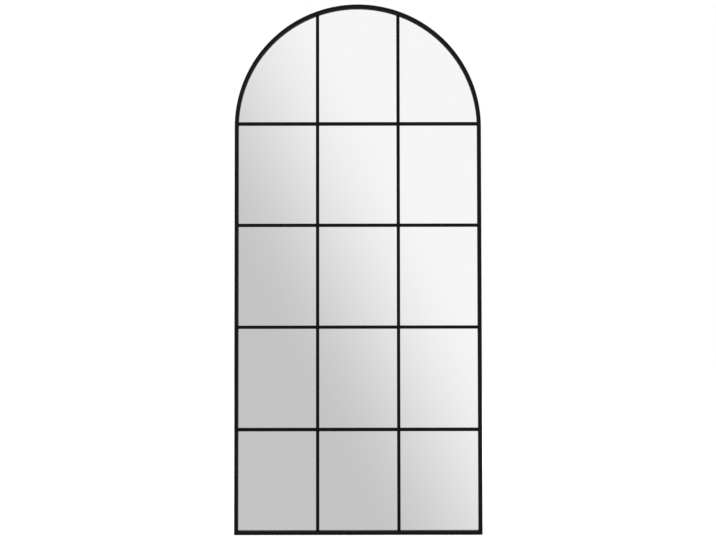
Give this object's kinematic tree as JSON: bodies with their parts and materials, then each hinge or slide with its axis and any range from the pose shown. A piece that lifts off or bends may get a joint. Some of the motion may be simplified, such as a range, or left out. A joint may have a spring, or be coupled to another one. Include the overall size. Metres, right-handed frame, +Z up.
{
  "type": "arched window mirror",
  "caption": "Tall wall or leaning mirror with a half-round top, slim black metal frame and a window-style grille of flat bars over the glass.",
  "frame": {"origin": "middle of the width and of the depth, bumpers included, at the underside of the bottom rail", "axes": "+Z up the mirror to the crown of the arch, -Y out of the glass towards the viewer, +X to the viewer's right"},
  "size_m": [0.838, 0.032, 1.8],
  "materials": {
    "frame_coat": "black powder coat on an aluminium extrusion, fine texture, satin",
    "bar_coat": "black powder coat on aluminium flat bar, satin",
    "key_zinc": "zinc plated pressed steel",
    "screw_zinc": "zinc plated, bright",
    "mirror_glass": "float glass, silvered and painted on the back",
    "fibreboard": "bare medium density fibreboard",
    "foam_tape": "closed cell foam tape",
    "block_rubber": "moulded rubber setting block",
    "spring_steel": "blued spring steel strip",
    "hanger_zinc": "zinc plated steel strip",
    "ring_nickel": "nickel plated steel wire",
    "bumper_rubber": "soft black rubber, matt"
  },
  "bodies": {
    "mirror": {"frame_arch": "frame_coat", "frame_left_stile": "frame_coat", "frame_right_stile": "frame_coat", "frame_bottom_rail": "frame_coat", "corner_key_left": "key_zinc", "corner_key_right": "key_zinc", "splice_key_left": "key_zinc", "splice_key_right": "key_zinc", "key_set_screws": "screw_zinc", "upright_bar_1": "bar_coat", "upright_bar_2": "bar_coat", "cross_bar_1": "bar_coat", "cross_bar_2": "bar_coat", "cross_bar_3": "bar_coat", "cross_bar_4": "bar_coat", "mirror_glass": "mirror_glass", "backing_board": "fibreboard", "tape_arch": "foam_tape", "tape_left": "foam_tape", "tape_right": "foam_tape", "tape_bottom": "foam_tape", "tape_middle": "foam_tape", "setting_block_left": "block_rubber", "setting_block_right": "block_rubber", "spring_clips": "spring_steel", "hanger_strap_left": "hanger_zinc", "hanger_strap_right": "hanger_zinc", "hanger_screws": "screw_zinc", "wall_bumpers": "bumper_rubber"},
    "ring_left": {"hanger_ring_left": "ring_nickel"},
    "ring_right": {"hanger_ring_right": "ring_nickel"}
  },
  "joints": [
    {"name": "ring_left_swing", "type": "hinge", "parent": "mirror", "child": "ring_left", "pos_m": [-0.27, 0.0069, 1.44], "axis": [1, 0, 0], "range_deg": [0, 180]},
    {"name": "ring_right_swing", "type": "hinge", "parent": "mirror", "child": "ring_right", "pos_m": [0.27, 0.0069, 1.44], "axis": [1, 0, 0], "range_deg": [0, 180]}
  ]
}
